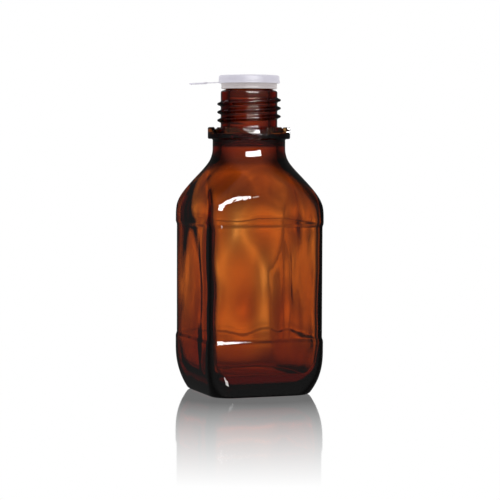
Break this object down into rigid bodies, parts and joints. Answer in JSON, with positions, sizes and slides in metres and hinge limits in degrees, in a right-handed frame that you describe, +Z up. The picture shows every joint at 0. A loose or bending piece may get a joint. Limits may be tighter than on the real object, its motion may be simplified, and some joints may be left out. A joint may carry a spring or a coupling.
{
  "type": "reagent bottle",
  "caption": "Square narrow-neck amber glass reagent bottle with a screw thread, a ratchet collar, a pouring ring and a press-on sealing lid with a pull tab.",
  "frame": {"origin": "centre of the resting plane under the base", "axes": "+Z up along the bottle's axis through the mouth, -Y out of the broad front face, +X to the right of it"},
  "size_m": [0.0594, 0.0594, 0.1558],
  "materials": {
    "amber_glass": "glossy moulded soda-lime glass, transparent brown",
    "ring_polyethylene": "natural translucent low-density polyethylene",
    "lid_polyethylene": "natural translucent low-density polyethylene, satin"
  },
  "bodies": {
    "bottle": {"bottle": "amber_glass"},
    "pouring_ring": {"pouring_ring": "ring_polyethylene"},
    "sealing_lid": {"sealing_lid": "lid_polyethylene"},
    "pull_tab": {"pull_tab": "lid_polyethylene"}
  },
  "joints": [
    {"name": "ring_lift", "type": "slide", "parent": "bottle", "child": "pouring_ring", "axis": [0, 0, 1], "range_m": [0, 0.03]},
    {"name": "lid_lift", "type": "slide", "parent": "pouring_ring", "child": "sealing_lid", "axis": [0, 0, 1], "range_m": [0, 0.03]},
    {"name": "tab_bend", "type": "hinge", "parent": "sealing_lid", "child": "pull_tab", "pos_m": [-0.0145, 0.00528, 0.1523], "axis": [0.342, 0.9397, 0], "range_deg": [-75, 90], "stiffness_Nm_per_rad": 0.0005}
  ]
}
